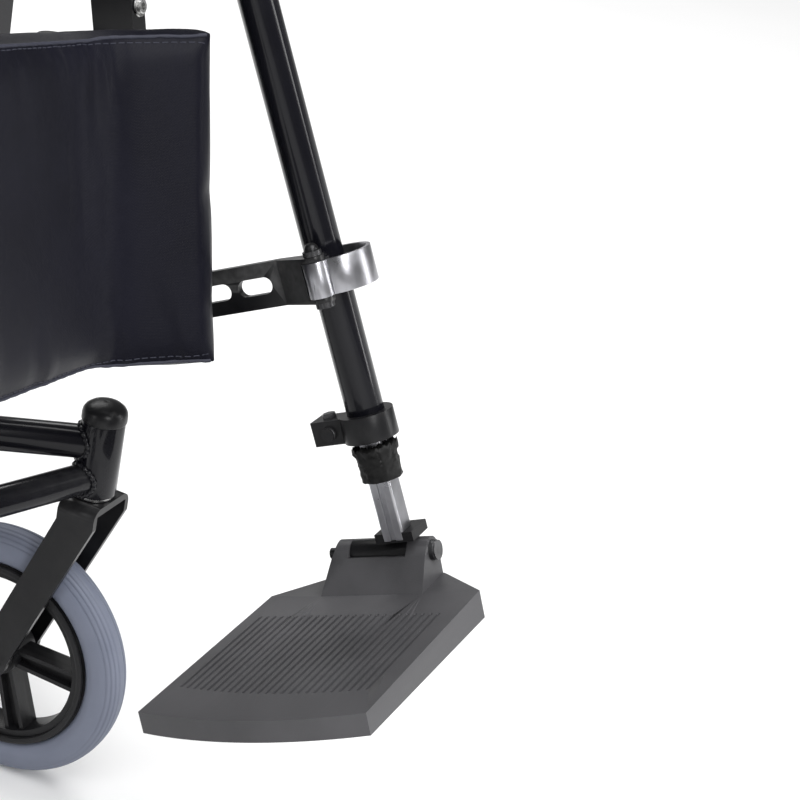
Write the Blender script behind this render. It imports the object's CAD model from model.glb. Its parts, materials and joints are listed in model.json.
# Transport wheelchair: materials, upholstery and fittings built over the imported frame.
import bpy
import bmesh
import json
from math import cos, exp, pi, radians, sin
from mathutils import Euler, Matrix, Vector, noise


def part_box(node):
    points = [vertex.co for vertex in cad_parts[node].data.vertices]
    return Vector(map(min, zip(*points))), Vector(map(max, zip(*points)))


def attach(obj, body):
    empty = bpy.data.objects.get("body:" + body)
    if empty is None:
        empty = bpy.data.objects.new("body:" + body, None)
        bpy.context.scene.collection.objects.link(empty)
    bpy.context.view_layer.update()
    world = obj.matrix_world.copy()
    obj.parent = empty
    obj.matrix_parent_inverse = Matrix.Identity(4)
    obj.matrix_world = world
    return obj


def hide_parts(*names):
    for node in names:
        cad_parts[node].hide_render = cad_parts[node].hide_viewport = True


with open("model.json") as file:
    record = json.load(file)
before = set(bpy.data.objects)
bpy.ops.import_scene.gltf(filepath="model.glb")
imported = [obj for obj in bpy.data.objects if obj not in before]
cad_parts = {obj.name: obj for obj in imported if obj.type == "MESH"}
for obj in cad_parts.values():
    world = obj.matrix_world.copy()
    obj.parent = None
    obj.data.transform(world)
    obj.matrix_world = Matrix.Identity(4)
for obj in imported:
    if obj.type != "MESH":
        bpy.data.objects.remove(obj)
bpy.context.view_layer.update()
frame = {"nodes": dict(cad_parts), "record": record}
MM = 0.001
SIDES = (("left", 1), ("right", -1))


# ---------------------------------------------------------------- places read from the frame
def middle(node):
    """Centre of a CAD node's box."""
    low, high = (Vector(c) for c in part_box(node))
    return (low + high) / 2


def joint(name):
    """A joint's point and axis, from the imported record."""
    found = next(j for j in frame["record"]["behaviour"]["joints"] if j["name"] == name)
    return Vector(found.get("pos_m", (0, 0, 0))), Vector(found["axis"]).normalized()


caster_hub = middle("caster_tyre_left")
swivel_at = joint("caster_swivel_left")[0]
knee_at = joint("leg_lift_left")[0]
leg_up = joint("calf_swing_left")[1]
flip_at, flip_axis = joint("foot_flip_left")
half_track = caster_hub.x

# The welded frame: tube centre lines in metres, tube radii in millimetres.
FRAME_X, REAR_Y = 0.22, 0.27
FRONT_POST_Y, MIDDLE_CROSS_Y = -0.104, 0.07
LOWER_RAIL_Z, CASTER_TUBE_Z, SEAT_RAIL_Z = 0.264, 0.2405, 0.5
FRAME_R, CROSS_R, HEAD_R = 11, 10, 13.8


# ---------------------------------------------------------------- camera, light, floor
def look(location, yaw, pitch, roll, lens):
    """Camera aimed by yaw from +X, pitch below the horizon and roll, in degrees."""
    data = bpy.data.cameras.new("camera")
    data.lens = lens
    data.sensor_width = 36
    data.clip_start = 0.05
    cam = bpy.data.objects.new("camera", data)
    bpy.context.collection.objects.link(cam)
    level = cos(radians(pitch))
    aim = Vector((level * cos(radians(yaw)), level * sin(radians(yaw)), -sin(radians(pitch))))
    turn = aim.to_track_quat("-Z", "Y").to_matrix() @ Matrix.Rotation(radians(roll), 3, "Z")
    cam.matrix_world = Matrix.Translation(location) @ turn.to_4x4()
    bpy.context.scene.camera = cam
    return cam


def area_light(name, location, target, size, watts):
    """A rectangular softbox turned to face a point."""
    data = bpy.data.lights.new(name, "AREA")
    data.shape = "RECTANGLE"
    data.size, data.size_y = size
    data.energy = watts
    lamp = bpy.data.objects.new(name, data)
    bpy.context.collection.objects.link(lamp)
    lamp.location = location
    lamp.rotation_euler = (Vector(target) - Vector(location)).to_track_quat("-Z", "Y").to_euler()
    return lamp


look(caster_hub + Vector((-957.7, -572.2, 722.9)) * MM, yaw=19.21, pitch=23.94, roll=11.79, lens=86.13)
area_light("key_softbox", (-1.9, -2.6, 2.3), (0.1, -0.2, 0.35), (0.7, 1.9), 46)
area_light("side_softbox", (-2.6, 1.0, 1.5), (0.1, -0.2, 0.4), (0.5, 1.6), 20)
area_light("back_softbox", (1.6, 1.4, 2.2), (0.1, -0.2, 0.4), (1.6, 0.8), 24)
area_light("front_strip", (1.3, -2.2, 1.0), (0.2, -0.2, 0.3), (0.35, 1.6), 14)


def overhead_sun():
    """Broad, even light from above, which keeps the floor white out to its edge."""
    data = bpy.data.lights.new("overhead_sun", "SUN")
    data.energy = 3.1
    data.angle = radians(50)
    lamp = bpy.data.objects.new("overhead_sun", data)
    bpy.context.collection.objects.link(lamp)
    lamp.rotation_euler = (radians(18), radians(-12), 0)


def studio_world():
    """White to the camera, dimmer as a light, so that gloss black stays black."""
    world = bpy.data.worlds.new("studio")
    world.use_nodes = True
    tree = world.node_tree
    back = tree.nodes["Background"]
    back.inputs["Color"].default_value = (1, 1, 1, 1)
    seen = tree.nodes.new("ShaderNodeLightPath")
    level = tree.nodes.new("ShaderNodeMapRange")
    level.inputs["To Min"].default_value = 0.16
    level.inputs["To Max"].default_value = 1.0
    tree.links.new(seen.outputs["Is Camera Ray"], level.inputs["Value"])
    tree.links.new(level.outputs["Result"], back.inputs["Strength"])
    bpy.context.scene.world = world
    bpy.context.scene.view_settings.view_transform = "Standard"


# ---------------------------------------------------------------- node helpers
def node(tree, kind, **values):
    """A shader node with its settings and its inputs' constants."""
    made = tree.nodes.new(kind)
    for name, value in values.items():
        if hasattr(made, name):
            setattr(made, name, value)
        else:
            made.inputs[name.replace("_", " ")].default_value = value
    return made


def wire(tree, *pairs):
    """Links each output to its input."""
    for source, target in pairs:
        tree.links.new(source, target)


def group(name, inputs, outputs):
    """An empty node group with float or colour sockets, and its two end nodes."""
    tree = bpy.data.node_groups.new(name, "ShaderNodeTree")
    for label, kind, value in inputs:
        sock = tree.interface.new_socket(name=label, in_out="INPUT", socket_type=kind)
        sock.default_value = value
    for label, kind in outputs:
        tree.interface.new_socket(name=label, in_out="OUTPUT", socket_type=kind)
    return tree, tree.nodes.new("NodeGroupInput"), tree.nodes.new("NodeGroupOutput")


FLOAT, COLOR = "NodeSocketFloat", "NodeSocketColor"


def cloudy_group():
    """Slow mottling between two colours, with a matching height for gentle bumps."""
    tree, start, end = group(
        "mottle",
        [
            ("Scale", FLOAT, 30.0),
            ("Detail", FLOAT, 4.0),
            ("Low", COLOR, (0.1, 0.1, 0.1, 1)),
            ("High", COLOR, (0.2, 0.2, 0.2, 1)),
        ],
        [("Color", COLOR), ("Mask", FLOAT)],
    )
    place = node(tree, "ShaderNodeTexCoord")
    specks = node(tree, "ShaderNodeTexNoise", Roughness=0.55)
    ramp = node(tree, "ShaderNodeMapRange", From_Min=0.3, From_Max=0.7)
    mix = node(tree, "ShaderNodeMix", data_type="RGBA")
    wire(
        tree,
        (place.outputs["Object"], specks.inputs["Vector"]),
        (start.outputs["Scale"], specks.inputs["Scale"]),
        (start.outputs["Detail"], specks.inputs["Detail"]),
        (specks.outputs["Fac"], ramp.inputs["Value"]),
        (ramp.outputs["Result"], mix.inputs["Factor"]),
        (start.outputs["Low"], mix.inputs[6]),
        (start.outputs["High"], mix.inputs[7]),
        (mix.outputs[2], end.inputs["Color"]),
        (ramp.outputs["Result"], end.inputs["Mask"]),
    )
    return tree


def edge_wear_group():
    """Mask of worn, lighter edges, from the surface's pointiness broken up by noise."""
    tree, start, end = group(
        "edge_wear", [("Amount", FLOAT, 0.5), ("Scale", FLOAT, 200.0)], [("Mask", FLOAT)]
    )
    place = node(tree, "ShaderNodeTexCoord")
    shape = node(tree, "ShaderNodeNewGeometry")
    specks = node(tree, "ShaderNodeTexNoise", Detail=5.0)
    edge = node(tree, "ShaderNodeMapRange", From_Min=0.53, From_Max=0.62)
    product = node(tree, "ShaderNodeMath", operation="MULTIPLY")
    scaled = node(tree, "ShaderNodeMath", operation="MULTIPLY", use_clamp=True)
    wire(
        tree,
        (place.outputs["Object"], specks.inputs["Vector"]),
        (start.outputs["Scale"], specks.inputs["Scale"]),
        (shape.outputs["Pointiness"], edge.inputs["Value"]),
        (edge.outputs["Result"], product.inputs[0]),
        (specks.outputs["Fac"], product.inputs[1]),
        (product.outputs[0], scaled.inputs[0]),
        (start.outputs["Amount"], scaled.inputs[1]),
        (scaled.outputs[0], end.inputs["Mask"]),
    )
    return tree


def grain_group():
    """Fine moulded or pebbled grain as a height."""
    tree, start, end = group("grain", [("Scale", FLOAT, 900.0), ("Pebble", FLOAT, 0.5)], [("Height", FLOAT)])
    place = node(tree, "ShaderNodeTexCoord")
    specks = node(tree, "ShaderNodeTexNoise", Detail=3.0)
    cells = node(tree, "ShaderNodeTexVoronoi", feature="SMOOTH_F1")
    mix = node(tree, "ShaderNodeMix", data_type="FLOAT")
    wire(
        tree,
        (place.outputs["Object"], specks.inputs["Vector"]),
        (place.outputs["Object"], cells.inputs["Vector"]),
        (start.outputs["Scale"], specks.inputs["Scale"]),
        (start.outputs["Scale"], cells.inputs["Scale"]),
        (start.outputs["Pebble"], mix.inputs["Factor"]),
        (specks.outputs["Fac"], mix.inputs[2]),
        (cells.outputs["Distance"], mix.inputs[3]),
        (mix.outputs[0], end.inputs["Height"]),
    )
    return tree


def weave_group():
    """Woven cloth height: two sets of threads crossing, on Object coordinates."""
    tree, start, end = group("weave", [("Scale", FLOAT, 700.0)], [("Height", FLOAT)])
    place = node(tree, "ShaderNodeTexCoord")
    parts = node(tree, "ShaderNodeSeparateXYZ")
    wire(tree, (place.outputs["Object"], parts.inputs[0]))
    waves = []
    for axis in ("X", "Z"):
        slide = node(tree, "ShaderNodeMath", operation="ADD")
        along = node(tree, "ShaderNodeMath", operation="MULTIPLY")
        wave = node(tree, "ShaderNodeMath", operation="SINE")
        across = node(tree, "ShaderNodeMath", operation="MULTIPLY")
        wire(
            tree,
            (parts.outputs[axis], along.inputs[0]),
            (start.outputs["Scale"], along.inputs[1]),
            (parts.outputs["Y"], across.inputs[0]),
            (start.outputs["Scale"], across.inputs[1]),
            (along.outputs[0], slide.inputs[0]),
            (across.outputs[0], slide.inputs[1]),
            (slide.outputs[0], wave.inputs[0]),
        )
        waves.append(wave)
    cross = node(tree, "ShaderNodeMath", operation="MULTIPLY")
    lift = node(tree, "ShaderNodeMath", operation="MULTIPLY_ADD")
    lift.inputs[1].default_value = 0.5
    lift.inputs[2].default_value = 0.5
    wire(
        tree,
        (waves[0].outputs[0], cross.inputs[0]),
        (waves[1].outputs[0], cross.inputs[1]),
        (cross.outputs[0], lift.inputs[0]),
        (lift.outputs[0], end.inputs["Height"]),
    )
    return tree


MOTTLE, WEAR, GRAIN, WEAVE = cloudy_group(), edge_wear_group(), grain_group(), weave_group()


def use(tree, which, **values):
    """A node group placed in a tree, with its inputs' constants."""
    made = tree.nodes.new("ShaderNodeGroup")
    made.node_tree = which
    for name, value in values.items():
        made.inputs[name].default_value = value
    return made


def finish_of(
    name, low, high, rough=0.4, metal=0.0, mottle=30.0, wear=0.0, worn=(0.3, 0.3, 0.3), coat=0.0,
    grain=0.0, grain_scale=900.0, pebble=0.5, weave=0.0, weave_scale=700.0, sheen=0.0, rough_swing=0.12,
    coat_rough=0.1, specular=0.5, ripple=0.0,
):
    """A finish: mottled base colour, worn edges, uneven roughness, and grain, weave or ripple bumps."""
    mat = bpy.data.materials.new(name)
    mat.use_nodes = True
    tree = mat.node_tree
    skin = tree.nodes["Principled BSDF"]
    skin.inputs["Metallic"].default_value = metal
    skin.inputs["Coat Weight"].default_value = coat
    skin.inputs["Coat Roughness"].default_value = coat_rough
    skin.inputs["Sheen Weight"].default_value = sheen
    skin.inputs["Sheen Roughness"].default_value = 0.4
    skin.inputs["Specular IOR Level"].default_value = specular
    cloud = use(tree, MOTTLE, Scale=mottle, Low=(*low, 1), High=(*high, 1))
    color = cloud.outputs["Color"]
    if wear:
        edges = use(tree, WEAR, Amount=wear)
        blend = node(tree, "ShaderNodeMix", data_type="RGBA")
        blend.inputs[7].default_value = (*worn, 1)
        wire(tree, (edges.outputs["Mask"], blend.inputs["Factor"]), (color, blend.inputs[6]))
        color = blend.outputs[2]
    swing = node(tree, "ShaderNodeMapRange", To_Min=rough - rough_swing / 2, To_Max=rough + rough_swing / 2)
    wire(
        tree,
        (color, skin.inputs["Base Color"]),
        (cloud.outputs["Mask"], swing.inputs["Value"]),
        (swing.outputs["Result"], skin.inputs["Roughness"]),
    )
    normal = None
    layers = []
    if ripple:
        layers.append((use(tree, MOTTLE, Scale=55.0, Detail=1.0).outputs["Mask"], ripple))
    if grain:
        layers.append((use(tree, GRAIN, Scale=grain_scale, Pebble=pebble).outputs["Height"], grain))
    if weave:
        layers.append((use(tree, WEAVE, Scale=weave_scale).outputs["Height"], weave))
    for height, depth in layers:
        bump = node(tree, "ShaderNodeBump", Strength=1.0, Distance=depth)
        wire(tree, (height, bump.inputs["Height"]))
        if normal:
            wire(tree, (normal, bump.inputs["Normal"]))
        normal = bump.outputs["Normal"]
    if normal:
        wire(tree, (normal, skin.inputs["Normal"]))
    return mat


FINISH = {
    "gloss_black": finish_of(
        "gloss_black_enamel", (0.004, 0.004, 0.006), (0.007, 0.007, 0.010), rough=0.24, mottle=14,
        coat=0.25, wear=0.3, worn=(0.08, 0.08, 0.08), ripple=0.00004, coat_rough=0.05, specular=0.14,
    ),
    "satin_black": finish_of(
        "satin_black_steel", (0.005, 0.005, 0.006), (0.010, 0.010, 0.011), rough=0.33, mottle=40,
        wear=0.5, worn=(0.2, 0.2, 0.2), grain=0.00003, specular=0.3,
    ),
    "cap_plastic": finish_of(
        "black_cap_plastic", (0.006, 0.006, 0.007), (0.011, 0.011, 0.012), rough=0.36, grain=0.00003,
        specular=0.28,
    ),
    "rim_plastic": finish_of(
        "black_rim_plastic", (0.006, 0.006, 0.007), (0.012, 0.012, 0.013), rough=0.42, mottle=25,
        wear=0.3, worn=(0.06, 0.06, 0.06), grain=0.00005, specular=0.25,
    ),
    "blue_grey_tyre": finish_of(
        "blue_grey_tyre_rubber", (0.135, 0.152, 0.205), (0.175, 0.192, 0.25), rough=0.6, mottle=18,
        grain=0.00008, grain_scale=700, wear=0.2, worn=(0.42, 0.47, 0.58),
    ),
    "aluminium": finish_of(
        "brushed_aluminium", (0.33, 0.33, 0.35), (0.46, 0.46, 0.49), rough=0.32, metal=1.0, mottle=60,
        wear=0.3, worn=(0.9, 0.9, 0.9), grain=0.00003, grain_scale=1600, pebble=0.0,
    ),
    "zinc": finish_of(
        "zinc_plate", (0.48, 0.48, 0.47), (0.66, 0.66, 0.66), rough=0.3, metal=1.0, mottle=90,
    ),
    "black_bolt": finish_of(
        "black_oxide_steel", (0.012, 0.012, 0.013), (0.03, 0.03, 0.032), rough=0.32, metal=0.6,
        mottle=120, wear=0.6, worn=(0.25, 0.25, 0.26),
    ),
    "grip_rubber": finish_of(
        "black_grip_rubber", (0.005, 0.005, 0.005), (0.011, 0.011, 0.011), rough=0.55, grain=0.00010,
        grain_scale=1100, specular=0.25,
    ),
    "footplate": finish_of(
        "charcoal_footplate_plastic", (0.055, 0.0545, 0.058), (0.078, 0.077, 0.082), rough=0.5,
        mottle=22, grain=0.00008, grain_scale=1500, wear=0.35, worn=(0.09, 0.09, 0.095), specular=0.3,
    ),
    "panel": finish_of(
        "black_panel_plastic", (0.014, 0.014, 0.015), (0.022, 0.022, 0.024), rough=0.5, grain=0.00008,
        grain_scale=1300,
    ),
    "navy_cloth": finish_of(
        "navy_nylon", (0.004, 0.004, 0.008), (0.007, 0.007, 0.013), rough=0.42, mottle=16,
        weave=0.00008, weave_scale=5200, sheen=0.04, rough_swing=0.1, specular=0.1,
    ),
    "vinyl": finish_of(
        "black_arm_vinyl", (0.006, 0.006, 0.007), (0.011, 0.011, 0.012), rough=0.4, grain=0.00016,
        grain_scale=620, pebble=0.8, specular=0.3,
    ),
    "thread": finish_of(
        "navy_thread", (0.016, 0.017, 0.03), (0.03, 0.032, 0.05), rough=0.7, mottle=900,
    ),
    "floor": finish_of(
        "pale_studio_floor", (0.86, 0.86, 0.86), (0.90, 0.90, 0.90), rough=0.6, mottle=0.6,
    ),
}

# Finish of each CAD node, without its side.
CAD_FINISH = {
    "side_frame": "gloss_black", "head_cap": "cap_plastic", "fork": "satin_black",
    "caster_axle": "zinc", "caster_rim": "rim_plastic", "caster_tyre": "blue_grey_tyre",
    "rear_rim": "rim_plastic", "rear_tyre": "blue_grey_tyre", "rear_axle": "zinc",
    "brake_lever": "satin_black", "arm_frame": "gloss_black", "arm_pad": "vinyl", "side_panel": "panel",
    "hanger": "satin_black", "knee_bolt": "black_bolt", "leg_tube": "gloss_black",
    "calf_ring": "aluminium", "calf_bolt": "black_bolt", "calf_arm": "satin_black",
    "calf_pad": "navy_cloth", "leg_clamp": "cap_plastic", "slide_bar": "aluminium",
    "bar_sleeve": "grip_rubber", "foot_hinge": "cap_plastic", "foot_pin": "black_bolt",
    "footplate": "footplate", "seat": "navy_cloth", "crossbars": "gloss_black",
    "back_frame": "gloss_black", "back_upper": "navy_cloth", "back_lower": "navy_cloth",
    "push_grips": "grip_rubber",
}
# Width in millimetres by which sharp CAD edges are eased.
EDGE_ROUND = {
    "fork": 0.9, "hanger": 1.0, "leg_clamp": 1.2, "slide_bar": 0.8, "foot_hinge": 1.4, "footplate": 1.4,
    "calf_ring": 0.5, "calf_arm": 0.7, "caster_rim": 0.8, "rear_rim": 0.9, "brake_lever": 0.8,
    "side_panel": 0.8, "side_frame": 0.6, "caster_axle": 0.6, "rear_axle": 0.8, "knee_bolt": 0.8,
    "head_cap": 0.5, "leg_tube": 0.5,
}


def base_name(name):
    """A node's name without its side."""
    for side, _ in SIDES:
        name = name.removesuffix("_" + side)
    return name


def dress_frame():
    """Gives every CAD node its finish, and eases the sharp edges that the real pieces don't have."""
    for name, obj in frame["nodes"].items():
        kind = base_name(name)
        finish = FINISH[CAD_FINISH[kind]]
        if obj.material_slots:
            for place in obj.material_slots:
                place.link = "OBJECT"
                place.material = finish
        else:
            obj.data.materials.append(finish)
        if kind in EDGE_ROUND:
            weld = obj.modifiers.new("weld", "WELD")
            weld.merge_threshold = 0.00001
            ease = obj.modifiers.new("ease", "BEVEL")
            ease.width = EDGE_ROUND[kind] * MM
            ease.segments = 2
            ease.limit_method = "ANGLE"
            ease.angle_limit = radians(35)
            ease.harden_normals = False
            ease.use_clamp_overlap = True


overhead_sun()
studio_world()
dress_frame()


# ---------------------------------------------------------------- modelling helpers
def only(*objs):
    """Leaves just these objects selected, the first one active."""
    bpy.ops.object.select_all(action="DESELECT")
    for obj in objs:
        obj.select_set(True)
    bpy.context.view_layer.objects.active = objs[0]


def edit(obj, kind, test):
    """Enters edit mode and selects the vertices, edges or faces whose centre (and normal) pass the test."""
    only(obj)
    bpy.ops.object.mode_set(mode="EDIT")
    bpy.ops.mesh.select_mode(type=kind)
    bpy.ops.mesh.select_all(action="DESELECT")
    shell = bmesh.from_edit_mesh(obj.data)
    if kind == "FACE":
        for face in shell.faces:
            face.select_set(test(face.calc_center_median(), face.normal))
    elif kind == "EDGE":
        for edge in shell.edges:
            ends = [v.co for v in edge.verts]
            edge.select_set(test((ends[0] + ends[1]) / 2, (ends[1] - ends[0]).normalized()))
    else:
        for point in shell.verts:
            point.select_set(test(point.co, point.normal))
    shell.select_flush_mode()
    bmesh.update_edit_mesh(obj.data)


def leave():
    bpy.ops.object.mode_set(mode="OBJECT")


def settle(obj):
    """Bakes the object's place into its mesh, leaving it at the origin."""
    only(obj)
    bpy.ops.object.transform_apply(location=True, rotation=True, scale=True)


def apply_all(obj):
    """Applies every modifier, in order."""
    only(obj)
    for mod in list(obj.modifiers):
        bpy.ops.object.modifier_apply(modifier=mod.name)


def modify(obj, kind, **values):
    """Adds a modifier with its settings and applies it."""
    mod = obj.modifiers.new(kind.lower(), kind)
    for name, value in values.items():
        setattr(mod, name, value)
    apply_all(obj)


def clean(obj):
    """Merges doubles and turns every face outwards."""
    edit(obj, "VERT", lambda co, normal: True)
    bpy.ops.mesh.remove_doubles(threshold=0.00002)
    bpy.ops.mesh.normals_make_consistent(inside=False)
    leave()


def smooth(obj, angle=40):
    """Smooth shading, kept sharp where faces meet at more than angle degrees."""
    only(obj)
    bpy.ops.object.shade_smooth_by_angle(angle=radians(angle))


def copy_of_node(name, label):
    """A merged copy of a CAD node's mesh, to be shaped into the visible piece."""
    source = frame["nodes"][name]
    made = bpy.data.objects.new(label, source.data.copy())
    bpy.context.collection.objects.link(made)
    made.matrix_world = Matrix.Identity(4)
    made.data.materials.clear()
    clean(made)
    return made


def twin(obj, label):
    """The same piece for the right side, mirrored across the middle of the chair."""
    made = obj.copy()
    made.data = obj.data.copy()
    made.name = label
    bpy.context.collection.objects.link(made)
    made.scale.x = -1
    settle(made)
    edit(made, "FACE", lambda co, normal: True)
    bpy.ops.mesh.normals_make_consistent(inside=False)
    leave()
    return made


def hand_over(obj, body, finish, slot, *replaced):
    """Gives a finished piece its material, its body and its record slot."""
    if not obj.data.materials:
        obj.data.materials.append(FINISH[finish])
    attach(obj, body)
    if replaced:
        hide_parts(*replaced)


def both_sides(obj, stem, body, finish, slot, replaced=None):
    """Hands over a left-hand piece and its mirrored twin."""
    obj.name = stem + "_left"
    right = twin(obj, stem + "_right")
    for piece, (side, _) in zip((obj, right), SIDES):
        names = [f"{replaced}_{side}"] if replaced else []
        hand_over(piece, f"{body}_{side}" if body not in ("frame", "back") else body, finish, slot, *names)
    return obj, right


def tube(name, points, radius, closed=False, swell=None, sides=3):
    """A round tube along points; swell(i) scales its radius at point i."""
    curve = bpy.data.curves.new(name, "CURVE")
    curve.dimensions = "3D"
    curve.bevel_depth = radius
    curve.bevel_resolution = sides
    curve.use_fill_caps = not closed
    line = curve.splines.new("POLY")
    line.points.add(len(points) - 1)
    for i, place in enumerate(points):
        line.points[i].co = (*place, 1)
        line.points[i].radius = swell(i) if swell else 1
    line.use_cyclic_u = closed
    obj = bpy.data.objects.new(name, curve)
    bpy.context.collection.objects.link(obj)
    only(obj)
    bpy.ops.object.convert(target="MESH")
    obj = bpy.context.object
    obj.name = name
    clean(obj)
    smooth(obj, 60)
    return obj


def join(obj, *others):
    """Makes several meshes one piece."""
    only(obj, *others)
    bpy.ops.object.join()
    return obj


def cut(obj, cutter):
    """Cuts one piece out of another and throws the cutter away."""
    modify(obj, "BOOLEAN", operation="DIFFERENCE", solver="EXACT", object=cutter)
    bpy.data.objects.remove(cutter)


def frame_at(origin, up, side=(1, 0, 0)):
    """A placing matrix whose local Z is up and whose local X is close to side."""
    z = Vector(up).normalized()
    y = z.cross(Vector(side)).normalized()
    x = y.cross(z)
    turn = Matrix((x, y, z)).transposed()
    return Matrix.Translation(origin) @ turn.to_4x4()


def block(name, size):
    """A plain block in millimetres, centred on the origin."""
    bpy.ops.mesh.primitive_cube_add(size=1)
    obj = bpy.context.object
    obj.name = name
    obj.scale = Vector(size) * MM
    settle(obj)
    return obj


def turned_piece(name, outline, at, steps=48):
    """A shape spun about local Z from (radius, height) points in millimetres."""
    bpy.ops.mesh.primitive_circle_add(vertices=len(outline), radius=1, fill_type="NOTHING")
    obj = bpy.context.object
    obj.name = name
    for point, (radius, height) in zip(obj.data.vertices, outline):
        point.co = (radius * MM, 0, height * MM)
    edit(obj, "EDGE", lambda co, way: True)
    bpy.ops.mesh.spin(steps=steps, angle=2 * pi, center=(0, 0, 0), axis=(0, 0, 1))
    leave()
    clean(obj)
    obj.matrix_world = at
    settle(obj)
    return obj


def cylinder(sides, radius, height, base):
    """A cylinder in millimetres standing on local Z from its base height."""
    bpy.ops.mesh.primitive_cylinder_add(
        vertices=sides, radius=radius * MM, depth=height * MM, location=(0, 0, (base + height / 2) * MM)
    )
    return bpy.context.object


def socket_screw(name, at, radius, height, hexagon):
    """A cap screw's head with a raised, chamfered top and a hexagon recess."""
    head = cylinder(40, radius, height, 0)
    head.name = name
    edit(head, "FACE", lambda co, normal: normal.z > 0.9)
    bpy.ops.mesh.inset(thickness=0.12 * radius * MM)
    bpy.ops.transform.translate(value=(0, 0, 0.1 * radius * MM))
    leave()
    cut(head, cylinder(6, hexagon, height, height / 2))
    clean(head)
    head.matrix_world = at
    settle(head)
    smooth(head, 30)
    return head


def hex_head(name, at, across, height):
    """A hexagon bolt head with chamfered corners on a thin washer."""
    head = cylinder(6, across / 2 / cos(pi / 6), height, 0)
    head.name = name
    edit(head, "FACE", lambda co, normal: normal.z > 0.9)
    bpy.ops.mesh.inset(thickness=0.9 * MM)
    bpy.ops.transform.translate(value=(0, 0, 0.7 * MM))
    leave()
    rim = [(0.1, 0), (across * 0.72, 0), (across * 0.74, 0.5), (across * 0.72, 1), (0.1, 1)]
    join(head, turned_piece("washer", rim, Matrix.Identity(4), 32))
    head.matrix_world = at
    settle(head)
    smooth(head, 30)
    return head


# ---------------------------------------------------------------- padded pieces
def slimmed(obj, depth):
    """Pulls the surface in along its normals, ready to be puffed back out."""
    edit(obj, "VERT", lambda co, normal: True)
    bpy.ops.transform.shrink_fatten(value=-depth)
    leave()


def remesh(obj, voxel):
    """Rebuilds a mesh in even faces about one voxel wide."""
    obj.data.remesh_voxel_size = voxel
    only(obj)
    bpy.ops.object.voxel_remesh()


def puff(obj, pressure, cap, held=None, frames=20):
    """Blows a padded form up with cloth pressure, no point moving more than cap."""
    start = [v.co.copy() for v in obj.data.vertices]
    if held:
        pins = obj.vertex_groups.new(name="held")
        for v in obj.data.vertices:
            if held(v.co, v.normal):
                pins.add([v.index], 1.0, "REPLACE")
    cloth = obj.modifiers.new("filling", "CLOTH")
    rules = cloth.settings
    rules.quality = 5
    rules.mass = 0.3
    rules.tension_stiffness = 12
    rules.compression_stiffness = 12
    rules.bending_stiffness = 0.4
    rules.use_pressure = True
    rules.uniform_pressure_force = pressure
    rules.effector_weights.gravity = 0
    if held:
        rules.vertex_group_mass = "held"
    cloth.collision_settings.use_collision = False
    scene = bpy.context.scene
    for step in range(1, frames + 1):
        scene.frame_set(step)
    apply_all(obj)
    scene.frame_set(1)
    for v, home in zip(obj.data.vertices, start):
        shift = v.co - home
        if shift.length > cap:
            v.co = home + shift.normalized() * cap


def soften(obj, factor, repeat):
    """Relaxes a surface."""
    modify(obj, "SMOOTH", factor=factor, iterations=repeat)


def subdivide(obj):
    """Doubles a mesh's fineness and shades it smooth."""
    modify(obj, "SUBSURF", levels=1, render_levels=1)
    only(obj)
    bpy.ops.object.shade_smooth()


def on_skin(obj, place, lift=0.0):
    """The nearest point on a piece's surface, lifted along its normal."""
    found, spot, normal, _ = obj.closest_point_on_mesh(place)
    return spot + normal * lift


def ring_round(low, high, corner, z, per_corner=8, spacing=0.02):
    """Points round a rounded rectangle at height z."""
    points = []
    corners = [(high.x, high.y, 0), (low.x, high.y, 90), (low.x, low.y, 180), (high.x, low.y, 270)]
    for x, y, start in corners:
        mid = Vector((x - corner * (1 if x > 0 else -1), y - corner * (1 if y == high.y else -1)))
        for i in range(per_corner + 1):
            turn = radians(start + 90 * i / per_corner)
            points.append(Vector((mid.x + corner * cos(turn), mid.y + corner * sin(turn), z)))
    even = []
    for here, there in zip(points, points[1:] + points[:1]):
        parts = max(1, int((there - here).length / spacing))
        even += [here.lerp(there, i / parts) for i in range(parts)]
    return even


def bell(x):
    """A smooth bump, 1 at 0 and nearly nothing past 2."""
    return exp(-(x ** 2))


# ---- calf pads
# The pad's outline from above, in millimetres and degrees: a straight wing, a bend, the flat middle,
# a second bend and a short tip.
PAD_WING, PAD_WING_TURN, PAD_BEND, PAD_FLAT, PAD_THICK = 41, 50.6, 51.7, 86, 26
PAD_TIP_TURN, PAD_TIP = 35, 12
PAD_TALL = 189
PAD_TURN = (-13.7, 7.4, 2.2)
pad_turn = Euler([radians(a) for a in PAD_TURN], "XYZ").to_matrix().to_4x4()


def pad_way(s):
    """Point and rear normal of the pad's front face, s millimetres in from its outboard edge."""
    arc_one = PAD_BEND * radians(PAD_WING_TURN)
    arc_two = PAD_BEND * radians(PAD_TIP_TURN)
    place, turn = Vector((0, 0)), PAD_WING_TURN
    stretches = [
        (PAD_WING, 0), (arc_one, PAD_WING_TURN), (PAD_FLAT, 0), (arc_two, PAD_TIP_TURN), (PAD_TIP, 0),
    ]
    for length, bend in stretches:
        run = min(max(s, 0), length)
        parts = 6 if bend else 1
        for _ in range(parts):
            turn -= bend * run / length / parts / 2
            place += Vector((-cos(radians(turn)), sin(radians(turn)))) * run / parts
            turn -= bend * run / length / parts / 2
        s -= length
        if s <= 0:
            break
    return place, Vector((sin(radians(turn)), cos(radians(turn))))


PAD_WIDE = PAD_WING + PAD_BEND * radians(PAD_WING_TURN + PAD_TIP_TURN) + PAD_FLAT + PAD_TIP


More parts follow.
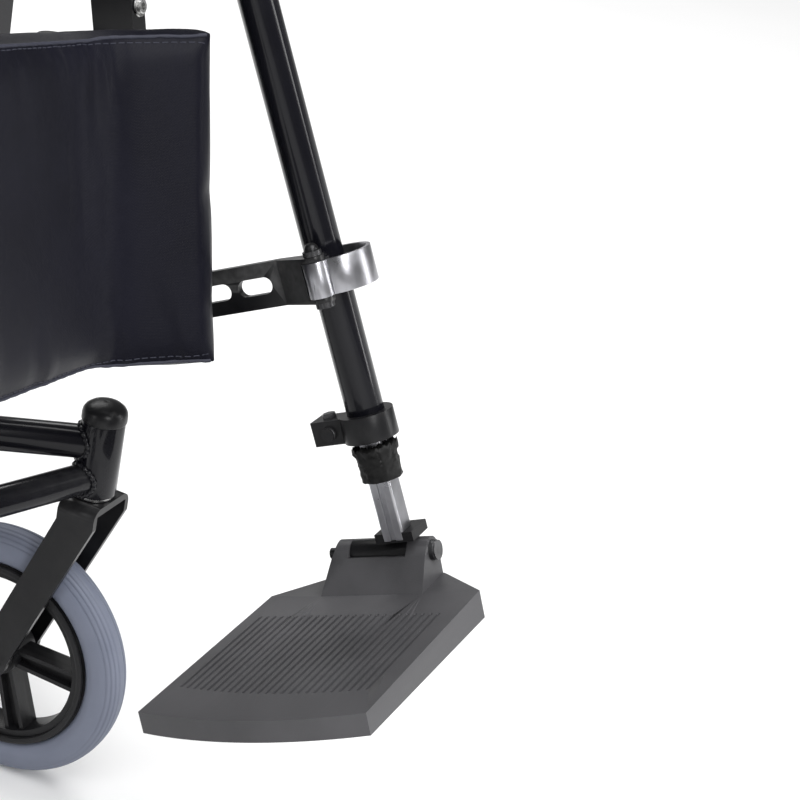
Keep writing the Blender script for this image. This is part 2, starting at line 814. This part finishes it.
def find_pad_home():
    """Places the pad's own axes so that its bare outline fills the CAD pad's box."""
    low, high = Vector((9, 9, 9)), Vector((-9, -9, -9))
    for i in range(81):
        place, rear = pad_way(PAD_WIDE * i / 80)
        for depth in (0, PAD_THICK):
            for z in (-PAD_TALL / 2, PAD_TALL / 2):
                at = pad_turn @ (Vector((*(place + rear * depth), z)) * MM)
                low = Vector(map(min, low, at))
                high = Vector(map(max, high, at))
    return Matrix.Translation(middle("calf_pad_left") - (low + high) / 2) @ pad_turn


pad_home = find_pad_home()


def pad_at(s, z, depth=0.0):
    """World point on the pad's front face: s in from the outboard edge, z up from its middle."""
    place, rear = pad_way(s)
    return pad_home @ (Vector((*(place + rear * depth), z)) * MM)


# Gathers under the top seam: place along it, lean, width, depth and how far down they reach.
TOP_GATHERS = (
    (68, 0.10, 8, 1.7, 105),
    (84, 0.02, 8, 1.8, 150),
    (97, -0.13, 8, 1.6, 130),
    (112, -0.22, 7, 1.1, 80),
    (150, -0.15, 9, 0.9, 120),
)
# Shorter puckers above the bottom seam: place along it, width and depth.
BOTTOM_PUCKERS = ((20, 9, 1.0), (130, 12, 1.2), (55, 8, 0.8))


def fold(s, z):
    """Depth of the cover's gathers, fanning down from the stitched top seam."""
    down = PAD_TALL / 2 - z
    if down < 2:
        return 0
    total = 0.0
    for start, lean, wide, deep, reach in TOP_GATHERS:
        off = s - start - lean * down
        width = wide + 0.09 * down
        fade = min(down / 14, 1) * max(0, 1 - down / reach) ** 0.7
        total += deep * fade * sin(off / width * 2.2) * bell(off / width)
    up = PAD_TALL - down
    for start, wide, deep in BOTTOM_PUCKERS:
        off = s - start - 0.25 * up
        total += deep * max(0, 1 - up / 60) * bell(off / wide) * sin(off / wide * 2)
    return total


def gather(pad):
    """Presses the gathers into the front face, fading out round the pad's edges."""
    steps, skin = 120, 9
    table = [pad_way(PAD_WIDE * i / steps) for i in range(steps + 1)]
    for v in pad.data.vertices:
        here = v.co / MM
        flat = Vector((here.x, here.y))
        near = min(range(steps + 1), key=lambda i: (table[i][0] - flat).length_squared)
        place, rear = table[near]
        depth = (flat - place).dot(rear)
        if depth < skin:
            weight = 1 - max(depth, 0) / skin
            push = fold(PAD_WIDE * near / steps, here.z) * weight
            v.co += Vector((*(rear * push), 0)) * MM


def stitch(pad, s, z, long):
    """One slightly bowed stitch on the pad's skin."""
    a, b = (on_skin(pad, pad_at(end, z), 0.0001) for end in (s, s + long))
    return tube("stitch", [a, (a + b) / 2 + (b - a).cross(Vector((0, 0, 1))) * 0.06, b], 0.00035, sides=1)


def calf_pads():
    """Padded calf covers with gathers, piping along both seams and a row of stitches inside each."""
    pad = copy_of_node("calf_pad_left", "calf_pad_cover_left")
    pad.data.transform(pad_home.inverted())
    slimmed(pad, 0.0003)
    remesh(pad, 0.0045)
    puff(pad, 4.0, 0.005, lambda co, normal: normal.y > 0.8)
    soften(pad, 0.5, 5)
    subdivide(pad)
    gather(pad)
    pad.data.transform(pad_home)
    stitch_long = 3.5
    edge = PAD_TALL / 2 - 2.5
    trims = []
    for z in (edge, -edge):
        route = [on_skin(pad, pad_at(s, z), 0.0002) for s in range(4, int(PAD_WIDE) - 3, 3)]
        trims.append(tube("piping", route, 0.0011, swell=lambda i: 1 + 0.12 * sin(i * 1.9)))
        inner = z - 5 if z > 0 else z + 5
        trims += [stitch(pad, s, inner, stitch_long) for s in range(6, int(PAD_WIDE) - 8, 5)]
    trim = join(*trims)
    trim.data.materials.append(FINISH["thread"])
    both_sides(pad, "calf_pad_cover", "calf_support", "navy_cloth", "upholstery", "calf_pad")
    both_sides(trim, "calf_pad_seam", "calf_support", "thread", "upholstery")


calf_pads()


# ---- seat cushion, back slings and arm pads
def seat_cushion():
    """Seat pad filling the CAD seat's box, with three sewn channels and a welt at top and bottom."""
    low, high = (Vector(c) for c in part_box("seat"))
    size = high - low
    bpy.ops.mesh.primitive_cube_add(size=1, location=(low + high) / 2)
    pad = bpy.context.object
    pad.name = "seat_cushion"
    pad.scale = size
    settle(pad)
    edit(pad, "EDGE", lambda co, way: abs(way.z) > 0.9)
    bpy.ops.mesh.bevel(offset=0.034, segments=8, profile=0.5)
    leave()
    slimmed(pad, 0.004)
    remesh(pad, 0.006)
    puff(pad, 4.5, 0.007, lambda co, normal: normal.z < -0.8)
    soften(pad, 0.5, 3)
    for v in pad.data.vertices:
        centre = Vector((v.co.x, v.co.y - (low.y + high.y) / 2))
        if v.normal.z > 0.5:
            dip = sum(0.0022 * bell((centre.x - x) / 0.006) for x in (-0.11, 0, 0.11))
            v.co.z -= dip * min(1, max(0, (0.165 - abs(centre.y)) / 0.02))
    subdivide(pad)
    hand_over(pad, "frame", "navy_cloth", "upholstery", "seat")
    trims = []
    for z in (low.z + 0.004, high.z - 0.004):
        route = [on_skin(pad, p, 0.0006) for p in ring_round(low, high, 0.034, z)]
        trims.append(tube("welt", route, 0.0024, closed=True, swell=lambda i: 1 + 0.06 * sin(i * 2.3)))
    welt = join(*trims)
    welt.name = "seat_welt"
    hand_over(welt, "frame", "navy_cloth", "upholstery")


def back_sling(node_name, label, body, channels):
    """Back upholstery: the copied sheet and its sleeves, puffed, with sewn channels and hem stitching."""
    low, high = (Vector(c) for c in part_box(node_name))
    seams = [low.z + (high.z - low.z) * (k + 1) / (channels + 1) for k in range(channels)]
    sling = copy_of_node(node_name, label)
    remesh(sling, 0.0045)
    puff(sling, 3.0, 0.005, lambda co, normal: abs(co.x) > 0.2)
    soften(sling, 0.5, 2)
    for v in sling.data.vertices:
        if abs(v.co.x) < 0.2:
            pull = sum(bell((v.co.z - z) / 0.005) for z in seams)
            pull += sum(bell((v.co.x - x) / 0.005) for x in (-0.196, 0.196))
            v.co.y += (REAR_Y - v.co.y) * min(0.45, 0.45 * pull)
            v.co.y += 0.0011 * sin(v.co.x * 95 + 3 * sin(v.co.z * 40)) * (1 - (v.co.x / 0.2) ** 2)
    subdivide(sling)
    hand_over(sling, body, "navy_cloth", "upholstery", node_name)
    trims = []
    for z in seams + [low.z + 0.007, high.z - 0.007]:
        route = [on_skin(sling, Vector((x * 0.01, low.y, z)), 0.0004) for x in range(-19, 20)]
        trims.append(tube("row", route, 0.0007, swell=lambda i: 1.0 if i % 2 else 0.35, sides=1))
    rows = join(*trims)
    rows.name = label + "_stitching"
    hand_over(rows, body, "thread", "upholstery")


def arm_pads():
    """Vinyl arm pads with rounded ends and a seam round the lower edge."""
    low, high = (Vector(c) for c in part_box("arm_pad_left"))
    mid_y, half_y = (low.y + high.y) / 2, (high.y - low.y) / 2
    pad = copy_of_node("arm_pad_left", "arm_cushion_left")
    edit(pad, "EDGE", lambda co, way: abs(way.z) > 0.9 and abs(abs(co.y - mid_y) - half_y) < 0.001)
    bpy.ops.mesh.bevel(offset=0.014, segments=6, profile=0.5)
    leave()
    slimmed(pad, 0.002)
    remesh(pad, 0.004)
    puff(pad, 4.0, 0.004, lambda co, normal: co.z < low.z + 0.014)
    soften(pad, 0.5, 4)
    subdivide(pad)
    both_sides(pad, "arm_cushion", "arm", "vinyl", "upholstery", "arm_pad")
    seam = tube("arm_seam", [on_skin(pad, p, 0.0002) for p in arm_ring(low, high)], 0.0011, closed=True)
    both_sides(seam, "arm_cushion_seam", "arm", "vinyl", "upholstery")


def arm_ring(low, high):
    """The seam's route round an arm pad."""
    mid = (low + high) / 2
    half = (high - low) / 2
    return [
        p + Vector((mid.x, mid.y, 0))
        for p in ring_round(Vector((-half.x, -half.y, 0)), Vector((half.x, half.y, 0)), 0.014, low.z + 0.016)
    ]


seat_cushion()
back_sling("back_upper", "back_cover", "back", 2)
back_sling("back_lower", "lumbar_cover", "frame", 1)
arm_pads()


# ---------------------------------------------------------------- wheels
def tyre_outline(r_in, r_out, half):
    """Rounded tread with fine grooves near both shoulders, down to the rim's seats."""
    crown = r_out - half * 1.25
    points = []
    for degree in range(-90, 91, 3):
        turn = radians(degree)
        wide = half * abs(sin(turn)) ** 0.75 * (1 if degree > 0 else -1)
        tall = crown + (r_out - crown) * abs(cos(turn)) ** 0.8
        if abs(degree) in (9, 24, 39, 54):
            tall -= 0.9
            wide *= 0.985
        points.append((tall, wide))
    foot = [(r_in + 3, half * 0.93), (r_in, half * 0.72), (r_in, -half * 0.72), (r_in + 3, -half * 0.93)]
    return points + foot


def tyres():
    """Grooved tyres on all four wheels."""
    for stem, r_in, body in (("caster_tyre", 67.3, "caster"), ("rear_tyre", 118.1, "rear_wheel")):
        low, high = (Vector(c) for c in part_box(stem + "_left"))
        half, r_out = (high.x - low.x) / 2 / MM, (high.z - low.z) / 2 / MM
        at = frame_at((low + high) / 2, (1, 0, 0), (0, 0, 1))
        tyre = turned_piece(stem + "_ribbed", tyre_outline(r_in, r_out - 0.05, half - 0.05), at, 120)
        smooth(tyre, 50)
        both_sides(tyre, stem + "_ribbed", body, "blue_grey_tyre", "tyre_grey", stem)


def rim_trim():
    """Raised lip round each rim's face and a hub ring with its bearing seal."""
    for stem, r_in, hub, body in (("caster_rim", 67.2, 14, "caster"), ("rear_rim", 118, 22, "rear_wheel")):
        low, high = (Vector(c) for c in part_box(stem + "_left"))
        half = (high.x - low.x) / 2 / MM
        rings = []
        for way in (1, -1):
            at = frame_at((low + high) / 2, (way, 0, 0), (0, 0, 1))
            lip = [
                (r_in - 5.5, half - 1), (r_in - 5, half + 0.5), (r_in - 3.8, half + 0.9),
                (r_in - 2.4, half + 0.9), (r_in - 1.2, half + 0.4), (r_in - 0.8, half - 1),
            ]
            seal = [
                (hub - 5, half - 1), (hub - 4.6, half + 0.8), (hub - 2.6, half + 1.0), (hub - 1.6, half - 1),
            ]
            rings += [turned_piece("lip", lip, at, 96), turned_piece("seal", seal, at, 48)]
        trim = join(*rings)
        smooth(trim, 50)
        both_sides(trim, stem + "_trim", body, "rim_plastic", "rim_plastic")


# ---------------------------------------------------------------- footplates
KNEE_HEIGHT = 365.5  # millimetres along the leg tube, from its own origin up to the knee
leg_home = frame_at(knee_at - leg_up * KNEE_HEIGHT * MM, leg_up)
plate_up = Vector((1, 0, 0)).cross(flip_axis if flip_axis.y > 0 else -flip_axis).normalized()


def plate_home():
    """The footplate's own axes: X outboard, Y rearward, Z out of the tread, origin under the leg."""
    return frame_at(flip_at - (plate_up * 18 + Vector((8, 0, 0))) * MM, plate_up)


def groove_inner_end(fore):
    """Where a groove stops inboard, following the plate's curved edge."""
    return -150 + 7 * ((fore - 6) / 60) ** 2


def tread_cutter(home):
    """Long round-ended bars, one for each groove of the tread."""
    outer, first, pitch, wide, deep, count = -45, -60, 4.88, 2.3, 1.3, 25
    bars = []
    for i in range(count):
        fore = first + pitch * i
        inner = groove_inner_end(fore)
        bar = block("groove", (outer - inner, wide, 2 * deep))
        edit(bar, "EDGE", lambda co, way: abs(way.z) > 0.9)
        bpy.ops.mesh.bevel(offset=0.48 * wide * MM, segments=3)
        leave()
        bar.matrix_world = home @ Matrix.Translation(Vector(((outer + inner) / 2, -fore, 0)) * MM)
        settle(bar)
        bars.append(bar)
    return join(*bars)


def footplates():
    """Grooved footplates with a hinge screw and a plain dimple each."""
    home = plate_home()
    plate = copy_of_node("footplate_left", "footplate_moulding")
    modify(plate, "BEVEL", width=1.3 * MM, segments=3, limit_method="ANGLE", angle_limit=radians(32))
    cut(plate, tread_cutter(home))
    clean(plate)
    smooth(plate, 32)
    modify(plate, "WEIGHTED_NORMAL", keep_sharp=True, weight=80)
    both_sides(plate, "footplate_moulding", "foot", "footplate", "plate_plastic", "footplate")
    screw_at = home @ frame_at(Vector((8, -35.2, 18)) * MM, (0, -1, 0))
    screw = socket_screw("hinge_screw", screw_at, 6.3, 3.0, 3.3)
    both_sides(screw, "hinge_screw", "foot", "black_bolt", "bolt_black")
    mark = turned_piece("moulding_mark", [(0.1, 0), (1.9, 0), (1.6, 0.5), (1.2, 0.25), (0.1, 0.25)],
                        home @ frame_at(Vector((-4.2, -2, 17.0)) * MM, (-0.8, 0, 0.55)), 24)
    both_sides(mark, "moulding_mark", "foot", "footplate", "plate_plastic")


# ---------------------------------------------------------------- legrest fittings
def torn_sleeve():
    """Rubber sleeve on the slide bar, wrinkled, with a ragged upper lip."""
    sleeve = copy_of_node("bar_sleeve_left", "torn_sleeve")
    remesh(sleeve, 0.0014)
    back = leg_home.inverted()
    for v in sleeve.data.vertices:
        here = back @ v.co / MM
        height = (here.z - 48) / 23.7
        rough = noise.noise(here * 0.17) * 1.3 + noise.noise(here * 0.5) * 0.5
        out = Vector((here.x, here.y))
        lip = height > 0.8
        ragged = (noise.noise(Vector((here.x * 0.55, here.y * 0.55, 3))) * 4.5 + 1.0) if lip else 0
        if out.length > 9.9:
            out *= (out.length + rough + (1.2 if lip else 0)) / out.length
        here = Vector((out.x, out.y, 46.5 + height * 20 + ragged * height))
        v.co = leg_home @ (here * MM)
    soften(sleeve, 0.4, 1)
    smooth(sleeve, 70)
    both_sides(sleeve, "torn_sleeve", "extension", "grip_rubber", "grip_rubber", "bar_sleeve")


def leg_screws():
    """Screw and nut of each leg clamp, and the washer and screw on each hanger's leaning upright."""
    clamp_at = leg_home @ frame_at(Vector((-7.9, 23, 79)) * MM, (-1, 0, 0), (0, 0, 1))
    clamp = socket_screw("clamp_screw", clamp_at, 4.4, 3.4, 2.1)
    both_sides(clamp, "clamp_screw", "leg", "black_bolt", "bolt_black")
    nut = hex_head("clamp_nut", leg_home @ frame_at(Vector((1, 25, 86.9)) * MM, (0, 0, 1)), 8, 4.2)
    both_sides(nut, "clamp_nut", "leg", "black_bolt", "bolt_black")
    lean = Matrix.Translation(Vector((half_track, -0.15, 0.54))) @ Matrix.Rotation(radians(-14), 4, "X")
    place = lean @ frame_at(Vector((1.2, -13.6, -2.2)) * MM, (0, -1, 0))
    washer = turned_piece("upright_washer", [(3, 0), (6.1, 0), (6.3, 0.6), (5.9, 1.3), (3, 1.3)], place, 40)
    smooth(washer, 30)
    both_sides(washer, "upright_washer", "swing_hanger", "zinc", "zinc")
    screw = socket_screw("upright_screw", place @ Matrix.Translation((0, 0, 1.2 * MM)), 4.2, 2.6, 2.2)
    both_sides(screw, "upright_screw", "swing_hanger", "zinc", "zinc")


# ---------------------------------------------------------------- frame fittings
def bead_ripple(i):
    """How a weld bead swells and thins along its length."""
    return 1 + 0.2 * sin(i * 2 * pi / 3.6) + 0.12 * sin(i * 1.7)


def bead(at, way, axis, tube_r, onto_r):
    """A rippled weld round a tube of radius tube_r where it meets a round bar of radius onto_r."""
    way, axis = Vector(way).normalized(), Vector(axis).normalized()
    lateral = way.cross(axis).normalized()
    route = []
    for i in range(72):
        turn = 2 * pi * i / 72
        reach = max(onto_r ** 2 - (tube_r * cos(turn)) ** 2, 0) ** 0.5
        round_tube = lateral * (tube_r + 0.5) * cos(turn) + axis * (tube_r + 0.5) * sin(turn)
        route.append(Vector(at) + (way * (reach + 0.4) + round_tube) * MM)
    return tube("weld", route, 1.7 * MM, closed=True, swell=bead_ripple)


def welds():
    """Weld beads where the frame's tubes meet, on both sides."""
    head = Vector((half_track, swivel_at.y, 0))
    post = Vector((FRAME_X, FRONT_POST_Y, LOWER_RAIL_Z))
    rear = Vector((FRAME_X, REAR_Y, LOWER_RAIL_Z))
    cross = Vector((FRAME_X, MIDDLE_CROSS_Y, LOWER_RAIL_Z))
    seat_corner = Vector((FRAME_X, REAR_Y, SEAT_RAIL_Z))
    up, along = (0, 0, 1), (0, 1, 0)
    beads = [
        bead(head + Vector((0, 0, LOWER_RAIL_Z)), (-50, 75, 0), up, FRAME_R, HEAD_R),
        bead(head + Vector((0, 0, CASTER_TUBE_Z)), (-100, 39, 0), up, CROSS_R, HEAD_R),
        bead(post, (50, -75, 0), up, FRAME_R, FRAME_R),
        bead(post, (0, 1, 0), up, FRAME_R, FRAME_R),
        bead(rear, (0, -1, 0), up, FRAME_R, FRAME_R),
        bead(rear, (-1, 0, 0), up, CROSS_R, FRAME_R),
        bead(cross, (-1, 0, 0), along, CROSS_R, FRAME_R),
        bead(seat_corner, (0, -1, 0), up, FRAME_R, FRAME_R),
    ]
    both_sides(join(*beads), "frame_welds", "frame", "gloss_black", "frame_paint")


def head_bearing():
    """Bright bearing washer between each caster's head tube and its fork."""
    bearing_z = 0.2270
    at = frame_at(Vector((half_track, swivel_at.y, bearing_z)), (0, 0, 1))
    outline = [(8.6, 0), (11.2, 0), (12.4, 0.6), (12.6, 2.9), (12.1, 3.3), (8.6, 3.3)]
    ring = turned_piece("head_bearing", outline, at, 56)
    smooth(ring, 30)
    both_sides(ring, "head_bearing", "frame", "zinc", "zinc")


def head_cap():
    """Domed plug in the top of the head tube, with a soft shoulder."""
    low, _ = (Vector(c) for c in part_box("head_cap_left"))
    at = frame_at(Vector((half_track, swivel_at.y, low.z)), (0, 0, 1))
    dome = [
        (0.2, 0.2), (14.3, 0.2), (14.5, 1), (14.5, 4.5), (14.1, 7),
        (12.8, 9.2), (10.2, 11.2), (6.5, 12.6), (3, 13.2), (0.2, 13.35),
    ]
    cap = turned_piece("head_cap_dome", dome, at, 64)
    modify(cap, "BEVEL", width=0.5 * MM, segments=2, limit_method="ANGLE", angle_limit=radians(40))
    smooth(cap, 60)
    both_sides(cap, "head_cap_dome", "frame", "cap_plastic", "cap_plastic", "head_cap")


def push_grips():
    """Rubber push grips: finger waves, fine rings and a domed end."""
    low, high = (Vector(c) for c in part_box("push_grips"))
    long = (high.y - low.y) / MM
    outline = [(11.2, 0), (16.5, 0), (17, 1.5), (17, 4), (15.2, 5.5)]
    steps = int((long - 18) / 2)
    for i in range(steps):
        along = 6 + 2 * i
        wave = 0.9 * sin(2 * pi * (along - 6) / 26)
        outline.append((15.0 - (0.5 if i % 2 else 0) + 0.6 * wave, along))
    outline += [
        (15.6, long - 9), (15.6, long - 4), (14.2, long - 1.6), (11, long - 0.3),
        (0.2, long), (0.2, long - 3), (11.2, long - 8),
    ]
    at = frame_at(Vector((high.x - 16 * MM, low.y, (low.z + high.z) / 2)), (0, 1, 0))
    grip = turned_piece("push_grip", outline, at, 56)
    smooth(grip, 50)
    grip.name = "push_grip_left"
    other = twin(grip, "push_grip_right")
    hand_over(grip, "back", "grip_rubber", "grip_rubber", "push_grips")
    hand_over(other, "back", "grip_rubber", "grip_rubber")


def tip_caps():
    """Rubber tips on the tip levers behind the rear wheels' axles."""
    lever_end = Vector((FRAME_X, 0.365, 0.120))
    at = frame_at(lever_end, (0, 95, -25))
    outline = [
        (0.2, -18), (9.7, -18), (11.4, -17.4), (11.8, -14),
        (11.4, 0), (11.2, 6), (9.8, 8.5), (0.2, 9),
    ]
    tip = turned_piece("tip_cap", outline, at, 40)
    smooth(tip, 40)
    both_sides(tip, "tip_cap", "frame", "grip_rubber", "grip_rubber")


tyres()
rim_trim()
footplates()
torn_sleeve()
leg_screws()
welds()
head_bearing()
head_cap()
push_grips()
tip_caps()


# ---------------------------------------------------------------- floor
def studio_floor():
    """A plain pale disc for the chair to stand on."""
    bpy.ops.mesh.primitive_circle_add(vertices=96, radius=9, fill_type="NGON", location=(0, 0, 0))
    floor = bpy.context.object
    floor.name = "studio_floor"
    floor.data.materials.append(FINISH["floor"])


studio_floor()
